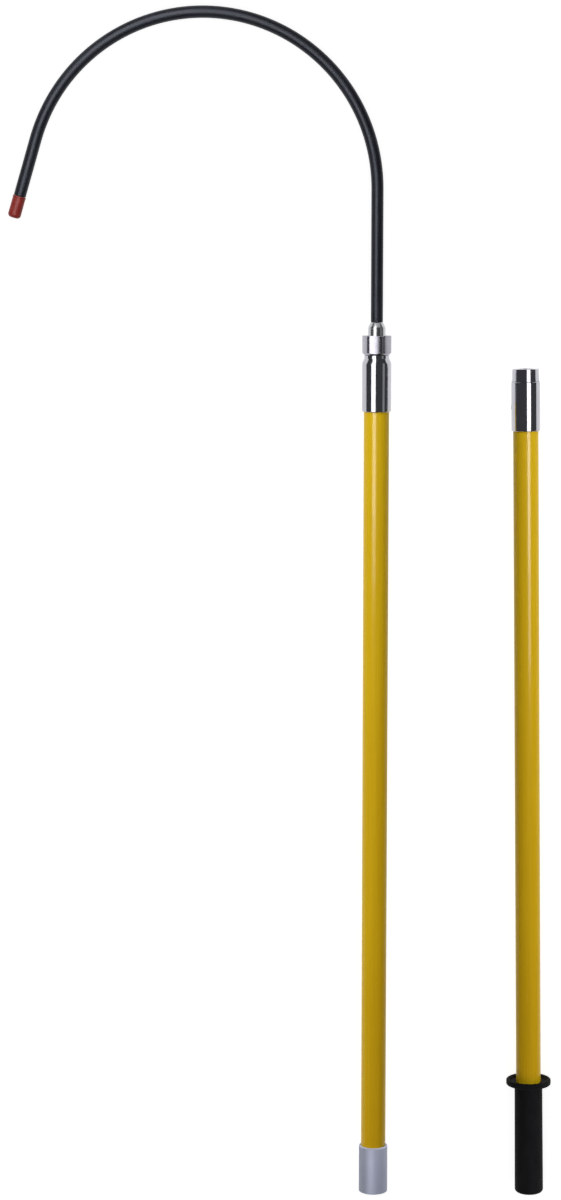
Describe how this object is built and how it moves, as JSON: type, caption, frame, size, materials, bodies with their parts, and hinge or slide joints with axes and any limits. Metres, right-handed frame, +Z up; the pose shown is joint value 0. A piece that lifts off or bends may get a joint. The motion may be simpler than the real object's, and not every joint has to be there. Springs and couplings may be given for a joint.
{
  "type": "insulated rescue hook",
  "caption": "Insulated rescue hook in two screw-together sections: a bent sleeved hook held by a union nut on a fibreglass tube, and a handle tube with a hand guard and grip.",
  "frame": {"origin": "middle of the laid-out set's footprint, on the surface that it lies on", "axes": "+Y along the hook section's pole, from its socket towards the hook; the hook bends towards -X; +Z up from the surface"},
  "size_m": [0.691, 1.5192, 0.0575],
  "materials": {
    "yellow_fibreglass": "glossy yellow glass-fibre tube",
    "foam": "rigid closed-cell foam",
    "grey_plastic": "moulded plug",
    "chrome": "polished chrome plate",
    "steel": "plain steel bar and pins",
    "aluminium": "satin turned aluminium",
    "black_sleeve": "black insulating sleeve",
    "red_cap": "soft red cap",
    "black_rubber": "smooth black rubber",
    "brass": "plain washer"
  },
  "bodies": {
    "hook_section": {"upper_tube": "yellow_fibreglass", "upper_foam_core": "foam", "head_plug": "grey_plastic", "head_ferrule": "chrome", "head_ferrule_pin": "steel", "key_pin": "steel", "socket_sleeve": "aluminium", "socket_stud": "steel", "socket_plug": "grey_plastic", "socket_pin": "steel"},
    "hook_head": {"hook_bar": "steel", "hook_sleeve": "black_sleeve", "tip_cap": "red_cap", "hook_fitting": "chrome", "fitting_pin": "steel", "thrust_washer": "brass"},
    "union_nut": {"union_nut": "chrome"},
    "handle_section": {"lower_tube": "yellow_fibreglass", "lower_foam_core": "foam", "spigot_plug": "grey_plastic", "spigot_ferrule": "chrome", "spigot_ferrule_pin": "steel", "hand_guard": "black_rubber", "grip": "black_rubber", "handle_end_plug": "grey_plastic"}
  },
  "joints": [
    {"name": "hook_lift", "type": "slide", "parent": "hook_section", "child": "hook_head", "axis": [0, 1, 0], "range_m": [0, 0.012]},
    {"name": "nut_spin", "type": "hinge", "parent": "hook_head", "child": "union_nut", "pos_m": [0.11621, 0.32897, 0.0186], "axis": [0, 1, 0], "range_deg": [0, 2160]},
    {"name": "handle_slide", "type": "slide", "parent": "hook_section", "child": "handle_section", "axis": [-0.1332, -0.9911, 0], "range_m": [0, 1.4037]}
  ],
  "couplings": [
    {"joint": "nut_spin", "follows": "hook_lift", "rad_per_m": 3141.6}
  ]
}
